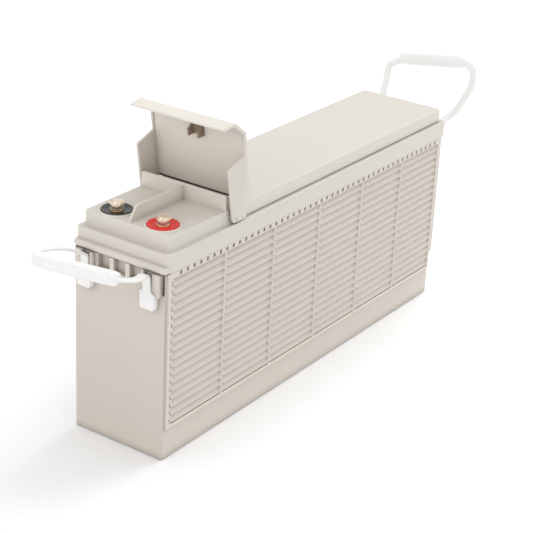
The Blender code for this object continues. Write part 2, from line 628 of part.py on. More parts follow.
# ---- the terminals --------------------------------------------------------------------------------
def make_terminal(side, polarity, colour, finishes):
    x = side * TERMINAL_X
    foot = DECK_HEIGHT - COLLAR_RECESS + GAP
    outer, inner = COLLAR_DIAMETER / 2, INSERT_DIAMETER / 2 + GAP
    turned(polarity + "_collar", x, TERMINAL_Y, [
        (inner, foot), (outer, foot), (outer, foot + COLLAR_HEIGHT - 1 * MM),
        (outer - 1 * MM, foot + COLLAR_HEIGHT), (outer - 2.4 * MM, foot + COLLAR_HEIGHT),
        (outer - 4.5 * MM, foot + 1.2 * MM), (inner, foot + 1.2 * MM)], colour, steps=28)

    bore = BOLT_DIAMETER / 2 + GAP
    turned(polarity + "_terminal_insert", x, TERMINAL_Y, [
        (bore, INSERT_Z0 + 1 * MM), (INSERT_DIAMETER / 2, INSERT_Z0 + 1 * MM),
        (INSERT_DIAMETER / 2, INSERT_Z1), (bore, INSERT_Z1)], finishes["brass"])
    turned(polarity + "_terminal_seal", x, TERMINAL_Y, [
        (INSERT_DIAMETER / 2 + GAP + SEAL_SECTION / 2 + SEAL_SECTION / 2 * math.cos(a),
         SEAL_Z + SEAL_SECTION / 2 * math.sin(a))
        for a in (2 * math.pi * i / 6 for i in range(6))], finishes["rubber"], steps=16)

    z = INSERT_Z1 + GAP
    turned(polarity + "_flat_washer", x, TERMINAL_Y, [
        (bore, z), (WASHER_DIAMETER / 2, z), (WASHER_DIAMETER / 2, z + WASHER), (bore, z + WASHER)],
        finishes["copper"])
    z += WASHER + GAP
    ring = SPRING_WASHER_DIAMETER / 2
    spring = turned(polarity + "_spring_washer", x, TERMINAL_Y, [
        (bore, z), (ring, z), (ring, z + SPRING_WASHER), (bore, z + SPRING_WASHER)], finishes["steel"])
    cut(spring, box(polarity + "_washer_split", (x - 0.4 * MM, TERMINAL_Y - 2 * ring, z - 1 * MM),
                    (x + 0.4 * MM, TERMINAL_Y, z + SPRING_WASHER + 1 * MM)))
    z += SPRING_WASHER + GAP
    bm = bmesh.new()
    corner = BOLT_HEAD / math.sqrt(3)
    add_prism(bm, [(px, py, 0) for px, py in circle(x, TERMINAL_Y, 2 * corner, 6)],
              (0, 0, z), (0, 0, z + BOLT_HEAD_HEIGHT))
    bolt = from_bmesh(polarity + "_bolt", bm, finishes["copper"], (x, TERMINAL_Y, z))
    join(bolt, cylinder(polarity + "_shank", x, TERMINAL_Y, BOLT_DIAMETER, z - BOLT_LENGTH,
                        z + 1 * MM, steps=14))

    if polarity == "positive":
        pole_foot = STRAP_BAR_BOTTOM + STRAP_BAR + GAP
    else:
        pole_foot = BUSBAR_BOTTOM + BUSBAR + GAP
    cylinder(polarity + "_terminal_pole", x, TERMINAL_Y, POLE_DIAMETER, pole_foot,
             INSERT_Z0 + 1 * MM - GAP, finishes["lead"], steps=16)


# ---- the hood over the terminals ------------------------------------------------------------------
def hood_point(along, rise):
    """A point of the closed hood, by its distance forward of the hinge and above it, as it stands open."""
    y, z = -along, rise
    c, s = math.cos(HOOD_OPEN), math.sin(HOOD_OPEN)
    return (HINGE_Y + y * c + z * s, HINGE_Z - y * s + z * c)


def hood_prism(name, outline, x0, x1, finish=None):
    bm = bmesh.new()
    add_prism(bm, [(0, *hood_point(a, r)) for a, r in outline], (x0, 0, 0), (x1, 0, 0))
    return from_bmesh(name, bm, finish, (0, HINGE_Y, HINGE_Z) if finish else (0, 0, 0))


def make_hood(finish):
    """Top panel, sloped front with a lip, and two side flaps that carry the hinge."""
    rise, wall = HOOD_RISE, HOOD_WALL
    lip = LEDGE_HEIGHT + HOOD_LIP_BOTTOM - HINGE_Z
    slope_foot = rise - HOOD_SLOPE
    turn = FLAP_DROP
    heel = [(-a, b) for a, b in arc(FLAP_HEEL - turn, 0, turn, 0, -90, 3)]
    outline = [(-FLAP_HEEL_TOP, FLAP_SHOULDER)] + heel + [
        (FLAP_LENGTH, -FLAP_DROP), (FLAP_LENGTH + FLAP_LEAN, rise - HOOD_RIB),
        (HOOD_BEND - 1 * MM, rise - HOOD_RIB), (HOOD_FRONT - HOOD_RIB, slope_foot - 1 * MM),
        (HOOD_FRONT - wall, slope_foot - HOOD_RIB), (HOOD_FRONT - wall, lip), (HOOD_FRONT, lip),
        (HOOD_FRONT, slope_foot), (HOOD_BEND, rise), (HOOD_REAR, rise)]
    hood = hood_prism("terminal_hood", outline, -HALF, HALF, finish)
    far = 60 * MM
    inner = [(HOOD_REAR, rise + far), (HOOD_REAR, rise - wall), (HOOD_BEND - 1 * MM, rise - wall),
             (HOOD_FRONT - wall, slope_foot - 0.6 * MM), (HOOD_FRONT - wall, lip - far),
             (-far, lip - far), (-far, rise + far)]
    cut(hood, hood_prism("hood_hollow", inner, -HALF + FLAP_WALL, HALF - FLAP_WALL))
    cut(hood, side_prism("hood_pin_hole", circle(HINGE_Y, HINGE_Z, HINGE_PIN + 2 * GAP, 12),
                         -HALF - 1 * MM, HALF + 1 * MM))
    return hood


def make_latch(finish):
    """Two moulded hooks on the hood's inside that grip the divider."""
    top = HOOD_RISE - HOOD_WALL - GAP
    start, end = LATCH_START, LATCH_START + LATCH_LENGTH
    bm = bmesh.new()
    outline = [(start, top), (start, top - LATCH_DEPTH), (end - 3 * MM, top - LATCH_DEPTH), (end, top)]
    for side in (-1, 1):
        add_prism(bm, [(0, *hood_point(a, r)) for a, r in outline],
                  (side * (LATCH_X - LATCH_THICKNESS / 2), 0, 0),
                  (side * (LATCH_X + LATCH_THICKNESS / 2), 0, 0))
    hooks = from_bmesh("hood_latch", bm, finish, (0, HINGE_Y, HINGE_Z))
    foot = [(start, top), (start, top - LATCH_BASE), (end, top - LATCH_BASE), (end, top)]
    join(hooks, hood_prism("latch_base", foot, -LATCH_X - LATCH_THICKNESS, LATCH_X + LATCH_THICKNESS))
    return hooks


def make_hinge_pin(side, finish):
    name = "hinge_pin_right" if side > 0 else "hinge_pin_left"
    return side_prism(name, circle(HINGE_Y, HINGE_Z, HINGE_PIN, 12),
                      side * (DECK_WIDTH / 2 - HINGE_PIN_DEPTH + GAP), side * (HALF - GAP), finish)


# ---- the carrying handles -------------------------------------------------------------------------
def make_anchor(face, out, side, tag, finish):
    """Thick foot of a strap, caught under the lugs, with the leg that runs up the channel."""
    channel = STRAP_WIDTH / 2 + CHANNEL_CLEARANCE
    inner, outer = HANDLE_X - channel - LUG_INNER, HANDLE_X + channel
    top = LUG_BOTTOM - GAP - 0.2 * MM
    drop = LUG_SLANT * ANCHOR_OVERLAP / LUG_OUTER
    outline = [(inner, top - ANCHOR_HEIGHT), (outer + ANCHOR_OVERLAP, top - ANCHOR_HEIGHT),
               (outer + ANCHOR_OVERLAP, top - drop - 0.2 * MM), (outer, top - 0.2 * MM), (inner, top)]
    bm = bmesh.new()
    add_prism(bm, [(side * x, 0, z) for x, z in outline],
              (0, face + out * GAP, 0), (0, face + out * ANCHOR_DEPTH, 0))
    name = f"{tag}_{'right' if side > 0 else 'left'}_anchor"
    anchor = from_bmesh(name, bm, finish)
    centre = face + out * STRAP_OFFSET
    leg_top = SKIRT_BOTTOM - GAP
    xs = sorted((side * (HANDLE_X - STRAP_WIDTH / 2), side * (HANDLE_X + STRAP_WIDTH / 2)))
    ys = sorted((centre - out * STRAP_THICKNESS / 2, face + out * (ANCHOR_DEPTH - 0.2 * MM)))
    join(anchor, box(name + "_leg", (xs[0], ys[0], top - 4 * MM), (xs[1], ys[1], leg_top)))
    return anchor


def make_handle(tag, axis_y, out, near, far, grip_ends, finish):
    """A strap from leg to leg, through the grip; its points are counted from their own leg's top."""
    axis = Vector((0, axis_y, HANDLE_AXIS_Z))
    start = axis + Vector((HANDLE_X, 0, 0))
    end = axis + Vector((-HANDLE_X, 0, 0))
    right, left = start + Vector(grip_ends[0]), end + Vector(grip_ends[1])
    along = (left - right).normalized()
    reach = along * GRIP_END
    first = smooth_path([start] + [start + Vector(p) for p in near] + [right, right + reach], 3)
    last = smooth_path([left - reach, left] + [end + Vector(p) for p in far] + [end], 3)
    path = first + last
    directions = across_path(path, Vector((1, 0, 0)).cross((right + left) / 2 - axis).normalized())
    band(f"{tag}_handle_strap", path, directions, STRAP_WIDTH, STRAP_THICKNESS, finish,
         (0, axis_y, HANDLE_AXIS_Z))

    ends = [directions[len(first) - 1][1], directions[len(first)][1]]
    bm = bmesh.new()
    rings = []
    for middle, across in ((right, ends[0]), (left, ends[1])):
        across = (across - along * across.dot(along)).normalized()
        up = along.cross(across)
        rings.append([bm.verts.new(middle + across * (GRIP_WIDTH / 2 * math.cos(a))
                                   + up * (GRIP_THICKNESS / 2 * math.sin(a)))
                      for a in (2 * math.pi * i / 14 for i in range(14))])
    for j in range(14):
        k = (j + 1) % 14
        bm.faces.new((rings[0][j], rings[0][k], rings[1][k], rings[1][j]))
    bm.faces.new(rings[0])
    bm.faces.new(rings[1])
    grip = from_bmesh(f"{tag}_handle_grip", bm, finish, (0, axis_y, HANDLE_AXIS_Z))
    inside = slice(len(first) - GRIP_STEPS, len(first) + GRIP_STEPS)
    cut(grip, band(f"{tag}_grip_bore", path[inside], directions[inside],
                   STRAP_WIDTH + 2 * GAP, STRAP_THICKNESS + 2 * GAP))


# ---- the whole battery ----------------------------------------------------------------------------
def build():
    for old in list(bpy.data.objects):
        bpy.data.objects.remove(old, do_unlink=True)

    grey = material("case_abs", (0.57, 0.53, 0.47), 0.45)
    lid_grey = material("lid_abs", (0.63, 0.59, 0.54), 0.42)
    white = material("handle_polypropylene", (0.88, 0.87, 0.86), 0.5)
    finishes = {
        "brass": material("brass", (0.70, 0.52, 0.26), 0.3, 1.0),
        "copper": material("tinned_copper", (0.72, 0.60, 0.50), 0.3, 1.0),
        "steel": material("spring_steel", (0.55, 0.54, 0.52), 0.35, 1.0),
        "rubber": material("rubber", (0.02, 0.02, 0.02), 0.7),
        "lead": material("lead", (0.22, 0.23, 0.25), 0.5, 1.0),
    }
    pin = material("hinge_pin", (0.6, 0.57, 0.5), 0.4)
    glass_mat = material("glass_mat", (0.85, 0.85, 0.83), 0.95)
    paste = {"positive": material("positive_paste", (0.16, 0.07, 0.04), 0.9),
             "negative": material("negative_paste", (0.28, 0.29, 0.30), 0.85)}

    make_case(grey)
    for cell in range(CELLS):
        make_plates(cell, "positive", paste["positive"])
        make_plates(cell, "negative", paste["negative"])
        make_separator(cell, glass_mat)
        if cell + 1 < CELLS:
            make_connector(cell, finishes["lead"])
    make_busbar(finishes["lead"])

    make_lid(lid_grey)
    make_top_cover(lid_grey)
    for number, y in enumerate(valve_places(), 1):
        make_valve(number, y, finishes["rubber"])

    make_terminal(1, "positive", material("red_collar", (0.75, 0.02, 0.02), 0.35), finishes)
    make_terminal(-1, "negative", material("black_collar", (0.02, 0.02, 0.02), 0.35), finishes)

    make_hood(lid_grey)
    make_latch(lid_grey)
    for side in (-1, 1):
        make_hinge_pin(side, pin)
        where = "right" if side > 0 else "left"
        make_anchor(FRONT_FACE, -1, side, "front", white)
        make_anchor(REAR_FACE, 1, side, "rear", white)

    # route of each strap from its right leg to the grip, and from the grip to its left leg
    make_handle("front", FRONT_AXIS_Y, -1,
                [(0.0015, -0.0047, 0.0020), (0.0047, -0.0147, 0.0036), (0.0060, -0.0277, 0.0072)],
                [(-0.0020, -0.0577, 0.0208), (-0.0007, -0.0447, 0.0196), (-0.0003, -0.0267, 0.0140),
                 (-0.0001, -0.0107, 0.0066)],
                ((0.0035, -0.0400, 0.0114), (0.0030, -0.0674, 0.0192)), white)
    make_handle("rear", REAR_AXIS_Y, 1,
                [(0.0005, 0.0087, 0.0040), (0.0020, 0.0237, 0.0108), (0.0075, 0.0347, 0.0190),
                 (0.0155, 0.0407, 0.0360), (0.0207, 0.0432, 0.0520), (0.0195, 0.0437, 0.0680)],
                [(-0.0115, 0.0397, 0.0535), (-0.0125, 0.0357, 0.0440), (-0.0090, 0.0257, 0.0310),
                 (-0.0055, 0.0147, 0.0180), (-0.0020, 0.0047, 0.0070)],
                ((0.0075, 0.0437, 0.0740), (0.0005, 0.0422, 0.0625)), white)


build()
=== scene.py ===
import bpy
import numpy as np
from mathutils import Matrix, Vector


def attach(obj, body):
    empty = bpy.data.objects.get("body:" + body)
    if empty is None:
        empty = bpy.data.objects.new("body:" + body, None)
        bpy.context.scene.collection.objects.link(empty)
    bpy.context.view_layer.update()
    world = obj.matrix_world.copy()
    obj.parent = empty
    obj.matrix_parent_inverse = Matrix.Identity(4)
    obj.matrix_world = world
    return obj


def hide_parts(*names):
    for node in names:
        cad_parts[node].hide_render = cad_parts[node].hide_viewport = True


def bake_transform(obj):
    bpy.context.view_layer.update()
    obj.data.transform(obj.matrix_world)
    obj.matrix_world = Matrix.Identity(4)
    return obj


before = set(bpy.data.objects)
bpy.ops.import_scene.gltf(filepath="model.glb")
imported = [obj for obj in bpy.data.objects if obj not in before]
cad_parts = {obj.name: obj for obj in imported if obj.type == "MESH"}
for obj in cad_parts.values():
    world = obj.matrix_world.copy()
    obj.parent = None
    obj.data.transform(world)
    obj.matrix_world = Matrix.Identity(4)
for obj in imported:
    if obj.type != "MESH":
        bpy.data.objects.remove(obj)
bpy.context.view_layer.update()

# ---- The studio ---------------------------------------------------------------------------------
# A white tent over a pale matt floor, with a cool broad softbox above and behind, and a small
# gridded one that fills the hood. The camera stands a metre and a half away, to the right of the
# terminals and above them.

scene = bpy.context.scene

EYE = (0.837229, -1.241098, 0.775896)
RIGHT = (0.8147316, 0.5780591, 0.0453884)
DOWN = (0.2721541, -0.3121111, -0.9102301)
AHEAD = (-0.5120006, 0.7539459, -0.4116079)
camera = bpy.data.objects.new("camera", bpy.data.cameras.new("camera"))
camera.data.lens = 106.44
camera.data.sensor_width = 36
camera.data.clip_end = 60
camera.matrix_world = Matrix([[RIGHT[i], -DOWN[i], -AHEAD[i], EYE[i]] for i in range(3)]
                             + [[0, 0, 0, 1]])
scene.collection.objects.link(camera)
scene.camera = camera
scene.view_settings.view_transform = "Standard"


def softbox(name, place, target, size, power, colour, spread=180):
    """A square area light that faces a target point; a grid narrows its beam to spread degrees."""
    light = bpy.data.objects.new(name, bpy.data.lights.new(name, "AREA"))
    light.data.size = size
    light.data.energy = power
    light.data.color = colour
    light.data.spread = np.radians(spread)
    light.visible_camera = False
    light.location = place
    light.rotation_euler = (Vector(target) - Vector(place)).to_track_quat("-Z", "Y").to_euler()
    scene.collection.objects.link(light)


softbox("overhead_softbox", (0.2, 1.7, 2.3), (0, 0, 0.15), 1.6, 30, (0.94, 0.98, 1.0))
softbox("hood_softbox", (-0.05, -0.55, 0.48), (0, -0.13, 0.27), 0.3, 0.055, (1.0, 1.0, 1.0), 40)

world = bpy.data.worlds.new("studio")
world.use_nodes = True
world.node_tree.nodes["Background"].inputs["Color"].default_value = (1, 1, 1, 1)
world.node_tree.nodes["Background"].inputs["Strength"].default_value = 0.93
scene.world = world

# ---- The case -----------------------------------------------------------------------------------
# A deep tub moulded in warm grey plastic, with a smooth plinth. Each long side carries six columns
# of shingled louvres in a raised frame, and the ends have pockets under the lid's lip.

MM = 0.001


def linear(red, green, blue):
    """Display values from 0 to 255 as light values: the power curve of a display, undone."""
    tone = np.array([red, green, blue]) / 255
    return tuple(np.where(tone <= 0.04045, tone / 12.92, ((tone + 0.055) / 1.055) ** 2.4)) + (1.0,)


class Wire:
    """A shader socket: arithmetic on it adds Math nodes, and node() adds any other kind."""

    def __init__(self, tree, socket=None):
        self.tree, self.socket = tree, socket

    def node(self, kind, settings, values, output=0):
        """A new node: its settings are set first, then each socket's number, colour or Wire."""
        new = self.tree.nodes.new("ShaderNode" + kind)
        for key, value in settings.items():
            setattr(new, key, value)
        for key, value in values.items():
            if isinstance(value, Wire):
                self.tree.links.new(value.socket, new.inputs[key])
            else:
                new.inputs[key].default_value = value
        return Wire(self.tree, new.outputs[output] if new.outputs else None)

    def math(self, operation, *values):
        """One Math node: an operation on one or two numbers or Wires."""
        return self.node("Math", {"operation": operation}, dict(enumerate(values)))

    def __add__(self, other):
        return self.math("ADD", self, other)

    def __sub__(self, other):
        return self.math("SUBTRACT", self, other)

    def __rsub__(self, other):
        return self.math("SUBTRACT", other, self)

    def __mul__(self, other):
        return self.math("MULTIPLY", self, other)

    __radd__, __rmul__ = __add__, __mul__


def start_finish(name):
    """A new material, and a first Wire from which its nodes are made: the place on the object."""
    made = bpy.data.materials.new(name)
    made.use_nodes = True
    made.node_tree.nodes.clear()
    return made, Wire(made.node_tree).node("TexCoord", {}, {}, "Object")


def close_finish(place, tint, tone, roughness, height, depth, constants):
    """The shader itself. Its colour is the tint times the tone, its roughness and bump come from
    wires, and constants go straight on its sockets."""
    factor, first, second, result = 0, 6, 7, 2
    colour = place.node("Mix", {"data_type": "RGBA", "blend_type": "MULTIPLY"},
                        {factor: 1.0, first: tint, second: tone}, result)
    bump = place.node("Bump", {}, {"Strength": 1.0, "Distance": depth, "Height": height})
    values = {"Base Color": colour, "Roughness": roughness, "Normal": bump, **constants}
    shader = place.node("BsdfPrincipled", {}, values)
    place.node("OutputMaterial", {"target": "ALL"}, {"Surface": shader})


def moulded_plastic(name, tint, gloss=0.42, grain=1500, depth=0.05 * MM, mottle=0.05,
                    painted_edge_highlight=0.0, painted_hollow_shade=0.0):
    """Spark-eroded moulding texture: fine grain over a slow unevenness of tone, gloss and level.
    Outer edges get a painted highlight, and hollows a few millimetres wide get painted shade."""
    made, place = start_finish(name)
    slow = place.node("TexNoise", {}, {"Vector": place, "Scale": 14.0, "Detail": 3.0})
    fine = place.node("TexNoise", {}, {"Vector": place, "Scale": float(grain), "Detail": 1.0})
    tone = 1 + (slow - 0.5) * mottle + (fine - 0.5) * mottle
    # painted highlight: the tone is lifted where the mesh is pointed, along outer edges
    if painted_edge_highlight:
        edge = place.node("NewGeometry", {}, {}, "Pointiness")
        tone = tone + painted_edge_highlight * place.node("MapRange", {}, {"Value": edge, "From Min": 0.51,
                                                           "From Max": 0.58})
    # painted shade: the tone is lowered where an occlusion test finds surfaces within 9 mm
    if painted_hollow_shade:
        hollow = 1 - place.node("AmbientOcclusion", {"samples": 6}, {"Distance": 9 * MM}, "AO")
        tone = tone * (1 - painted_hollow_shade * hollow)
    close_finish(place, tint, tone, gloss + (slow - 0.5) * 0.12 + (fine - 0.5) * 0.1,
                 fine + slow * 3, depth, {"IOR": 1.5})
    return made


def dressed(piece, body, slot, *nodes):
    """Puts a finished piece on its body and hides the solids it stands for; slot is not used."""
    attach(piece, body)
    if nodes:
        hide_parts(*nodes)
    return piece


def loft(name, shells, finish, sharp=32):
    """A mesh of closed shells. A shell is rings[v, u] of points: neighbours along v and round u
    make four-sided faces, and a flat face closes its first ring and its last. A shell whose signed
    volume, the sum of a . (b x c) over its triangles, is negative has its faces turned."""
    points, quads, caps, count = [], [], [], 0
    for rings in shells:
        rows, columns = rings.shape[:2]
        here = np.arange(rows * columns).reshape(rows, columns)
        beside = np.roll(here, -1, axis=1)
        sides = np.stack([here[:-1], beside[:-1], beside[1:], here[1:]], -1).reshape(-1, 4)
        flat = rings.reshape(-1, 3)
        ends = [here[0][::-1], here[-1]]
        fans = [np.stack([np.full(columns - 2, end[0]), end[1:-1], end[2:]], -1) for end in ends]
        triangles = np.concatenate([sides[:, [0, 1, 2]], sides[:, [0, 2, 3]]] + fans)
        a, b, c = (flat[triangles[:, i]] - flat[0] for i in range(3))
        if np.einsum("ij,ij->i", a, np.cross(b, c)).sum() < 0:
            sides, ends = sides[:, ::-1], [end[::-1] for end in ends]
        points.append(flat)
        quads.append(sides + count)
        caps += [end + count for end in ends]
        count += rows * columns
    mesh = bpy.data.meshes.new(name)
    faces = np.concatenate(quads).tolist() + [cap.tolist() for cap in caps]
    mesh.from_pydata(np.concatenate(points).tolist(), [], faces)
    mesh.polygons.foreach_set("use_smooth", np.ones(len(faces), bool))
    mesh.set_sharp_from_angle(angle=np.radians(sharp))
    mesh.materials.append(finish)
    piece = bpy.data.objects.new(name, mesh)
    scene.collection.objects.link(piece)
    return piece


def step(t, low, high, soft):
    """1 between low and high and 0 outside, with straight ramps of width soft centred on each."""
    return np.clip((t - low) / soft + 0.5, 0, 1) * np.clip((high - t) / soft + 0.5, 0, 1)


def knots(edges, soft):
    """Both ends of the ramp at each edge, where a grid needs its lines."""
    edges = np.asarray(edges, float)
    return np.concatenate([edges - soft / 2, edges + soft / 2])


def grid_lines(*groups):
    """The lines of a grid: all the groups of values in rising order, each value once."""
    return np.unique(np.round(np.concatenate(groups), 3))


# the case's tone carries a painted highlight on its edges and painted shade in its hollows
CASE_GREY = moulded_plastic("case_plastic", linear(208, 199, 189), painted_edge_highlight=0.12, painted_hollow_shade=0.6)

HALF, BODY_HALF = 55.0, 52.8
FRONT, REAR, PAD, PAD_FOOT = -244.5, 244.5, 6.0, 50.0
FRAME_FRONT, FRAME_REAR = -241.9, 241.9
PLINTH, SHOULDER = 31.2, 190.0
FIELD_FOOT, FIELD_HEAD, ROWS = 36.0, 184.5, 18
FIELD_START, FIELD_END, COLUMNS, MULLION = -233.7, 238.9, 6, 4.0
FRAME_FOOT, FRAME_TOP = PLINTH + 0.6, 185.4
ROOT, TIP = 52.2, 54.5
EDGE, COLUMN_EDGE, ROW_EDGE, SLIT_EDGE, SLIT_RISE_EDGE = 0.7, 1.6, 0.3, 0.2, 0.06
DASH, DASH_RISE, DASH_DEPTH = np.array([-237.25, -236.35]), (0.22, 0.72), 2.0
DOT, DOT_RISE, DOT_DEPTH = np.array([-1.1, -0.3]), (0.06, 0.36), 2.2
POCKET_X, POCKET_HALF, POCKET_FOOT = (-18.5, 0.0, 18.5), 6.65, 176
SLOT_INNER, SLOT_OUTER, SLOT_FOOT = 49.7, 52.5, 170
POCKET_DEPTH, POCKET_EDGE, POCKET_FOOT_EDGE, ABOVE_ALL = 5.4, 0.4, 0.5, 400
PAD_EDGE, CORNER_RADIUS = 1.2, 1.4

cell = (FIELD_END - FIELD_START + MULLION) / COLUMNS
column_starts = FIELD_START + cell * np.arange(COLUMNS)
column_ends = column_starts + cell - MULLION
pitch = (FIELD_HEAD - FIELD_FOOT) / ROWS
louvre_feet = FIELD_FOOT + pitch * np.arange(ROWS)


def louvre(z):
    """How far a louvre stands out at a height: a quick round rise at its foot, then a long fall."""
    rise = ((z - FIELD_FOOT) / pitch) % 1
    return ROOT + (TIP - ROOT) * np.interp(rise, [0, 0.05, 0.11, 0.2, 0.55, 0.9, 1],
                                           [0, 0.72, 1, 0.96, 0.55, 0.1, 0])


def side_relief(y, z):
    """How far a long side stands out of the smooth body: the height of the frame, less the louvred
    columns, the dashes in its front border and the dots before each column."""
    frame_height = (HALF - BODY_HALF) * step(y, FRAME_FRONT, FRAME_REAR, EDGE)
    out = frame_height * step(z, FRAME_FOOT, FRAME_TOP, EDGE)
    column = sum(step(y, a, b, COLUMN_EDGE) for a, b in zip(column_starts, column_ends))
    in_rows = step(z, FIELD_FOOT, FIELD_HEAD, ROW_EDGE)
    out = out - column * in_rows * (HALF - louvre(np.minimum(z, FIELD_HEAD - 0.01)))
    rise = ((z - FIELD_FOOT) / pitch) % 1
    dashes = step(y, *DASH, SLIT_EDGE) * step(rise, *DASH_RISE, SLIT_RISE_EDGE) * in_rows
    dots = sum(step(y, *(start + DOT), SLIT_EDGE) for start in column_starts)
    dots = dots * step(rise, *DOT_RISE, SLIT_RISE_EDGE) * in_rows
    return out - DASH_DEPTH * dashes - DOT_DEPTH * dots


def end_relief(x, z):
    """How far an end face stands out: nothing, less three pockets and a slot at each corner."""
    pockets = sum(step(x, c - POCKET_HALF, c + POCKET_HALF, POCKET_EDGE) for c in POCKET_X)
    pockets = pockets * step(z, POCKET_FOOT, ABOVE_ALL, POCKET_FOOT_EDGE)
    slots = step(np.abs(x), SLOT_INNER, SLOT_OUTER, SLIT_EDGE)
    slots = slots * step(z, SLOT_FOOT, ABOVE_ALL, POCKET_FOOT_EDGE)
    return -POCKET_DEPTH * np.clip(pockets + slots, 0, 1)


side_y = grid_lines(
    knots([FRAME_FRONT, FRAME_REAR], EDGE), knots(column_starts, COLUMN_EDGE),
    knots(column_ends, COLUMN_EDGE), column_starts + 2.2, column_ends - 2.2,
    knots(DASH, SLIT_EDGE), knots(np.add.outer(DOT, column_starts).ravel(), SLIT_EDGE),
    (column_starts + column_ends) / 2, [FRONT + CORNER_RADIUS, REAR - CORNER_RADIUS])
end_x = grid_lines(
    knots([c + s * POCKET_HALF for c in POCKET_X for s in (-1, 1)], POCKET_EDGE),
    knots([-SLOT_OUTER, -SLOT_INNER, SLOT_INNER, SLOT_OUTER], SLIT_EDGE), np.linspace(-46, 46, 9))
rise_levels = np.array([0, 0.05, 0.11, 0.2, 0.33, 0.39, 0.55, 0.69, 0.75, 0.9])
case_z = grid_lines(
    [1.2, PLINTH - 1.2, PLINTH], knots([FRAME_FOOT, FRAME_TOP], EDGE),
    (louvre_feet[:, None] + pitch * rise_levels).ravel(), knots([FIELD_FOOT, FIELD_HEAD], ROW_EDGE),
    knots([SLOT_FOOT, POCKET_FOOT], POCKET_FOOT_EDGE), knots([PAD_FOOT], PAD_EDGE),
    [SHOULDER - 0.6])

corner = CORNER_RADIUS * (1 - np.cos(np.radians([30, 60])))
right_y = np.concatenate([[FRONT + corner[1]], side_y, [REAR - corner[1]]])
right_x = np.full(len(right_y), BODY_HALF)
right_x[[0, -1]] -= corner[0]
front_x = np.concatenate([[-BODY_HALF + corner[1]], end_x, [BODY_HALF - corner[1]]])
front_y = np.full(len(front_x), FRONT)
front_y[[0, -1]] += corner[0]
round_x = np.concatenate([right_x, front_x[::-1], -right_x, front_x])
round_y = np.concatenate([right_y, -front_y, right_y[::-1], front_y])
on_side = np.concatenate([np.ones(len(right_y)), np.zeros(len(front_x))] * 2).astype(bool)

z = case_z[:, None]
outward = np.where(on_side, side_relief(round_y, z), end_relief(round_x, z))
case_x = round_x + np.where(on_side, np.sign(round_x) * outward, 0)
pad = PAD * step(z, PAD_FOOT, ABOVE_ALL, PAD_EDGE) * (round_y > FRAME_REAR + EDGE / 2)
case_y = round_y + pad + np.where(on_side, 0, np.sign(round_y) * outward)
skin = np.stack([case_x, case_y, np.broadcast_to(z, case_x.shape)], -1)


def inner_ring(across, front, rear, height):
    """The same points round the case, drawn in to a smaller box at one height."""
    x = round_x * across / BODY_HALF
    y = np.interp(round_y, [FRONT, REAR], [front, rear])
    return np.stack([x, y, np.full(len(x), height)], -1)[None]


foot_ring = inner_ring(BODY_HALF - 1.0, FRONT + 1.0, REAR - 1.0, 0.0)
tongue = [inner_ring(51.2, -238.2, 241.7, 190.0), inner_ring(51.2, -238.2, 241.7, 204.6),
          inner_ring(50.8, -237.8, 241.3, 205.0), inner_ring(48.0, -234.5, 234.5, 205.0),
          inner_ring(48.0, -234.5, 234.5, 4.0)]
container = loft("louvred_case", [np.concatenate([foot_ring, skin] + tongue) * MM], CASE_GREY)
dressed(container, "root", "case_abs", "container")

# ---- The comb under the rim ---------------------------------------------------------------------
# A square bead closes each louvred side at its top, just under the lid. It is part of the same
# moulding, and a row of small slanted notches is cored out of it.

NOTCH_PITCH, NOTCH_HALF, NOTCH_HEAD, NOTCH_DEPTH, NOTCH_LEAN = 9.9, 1.15, 189.5, 3.4, 0.16
COMB_FOOT, COMB_HEAD, COMB_EASE = 185.2, 190.45, 0.5
notch_at = -224.0 + NOTCH_PITCH * np.arange(47)


def comb(side):
    """A bar along y with a notch at each centre: its rectangular section, carried along y, with the
    outer face drawn in where a point is within half a notch of a centre. The centres lean towards
    the terminals by 0.16 of the fall."""
    y = grid_lines(*[notch_at + d for d in (-1.8, -1.4, -0.9, 0.4, 0.9, 1.4)],
                   [FRAME_FRONT, FRAME_FRONT + COMB_EASE, FRAME_REAR - COMB_EASE, FRAME_REAR])
    heights = np.array([COMB_FOOT, COMB_FOOT + 0.9, COMB_FOOT + 1.5, 189.2, 189.8, COMB_HEAD])
    gap = (y - notch_at[0] + NOTCH_PITCH / 2) % NOTCH_PITCH - NOTCH_PITCH / 2
    gap = gap[:, None] + (189.4 - heights) * NOTCH_LEAN
    inside = (np.abs(y - notch_at.mean()) < NOTCH_PITCH * len(notch_at) / 2)[:, None]
    cut = step(gap, -NOTCH_HALF, NOTCH_HALF, 0.5) * inside
    cut = cut * step(heights, COMB_FOOT + 1.2, NOTCH_HEAD, 0.6)
    ends = step(y, FRAME_FRONT + COMB_EASE / 2, FRAME_REAR - COMB_EASE / 2, COMB_EASE)[:, None]
    face = HALF - NOTCH_DEPTH * cut - 0.4 * (1 - ends) - 0.05
    back = np.full((len(y), 2), BODY_HALF - 2.6)
    x = np.concatenate([face, back], 1)
    level = np.broadcast_to(np.append(heights, [COMB_HEAD, COMB_FOOT]), x.shape)
    return np.stack([side * x, np.broadcast_to(y[:, None], x.shape), level], -1) * MM


for side, where in ((1, "right"), (-1, "left")):
    dressed(loft(f"{where}_rim_comb", [comb(side)], CASE_GREY), "root", "case_abs")

# ---- The strap channels -------------------------------------------------------------------------
# Two cheeks stand out of each end face beside every strap, moulded with the case. The foot of the
# strap is trapped below them, against the slanted end of the wider cheek.


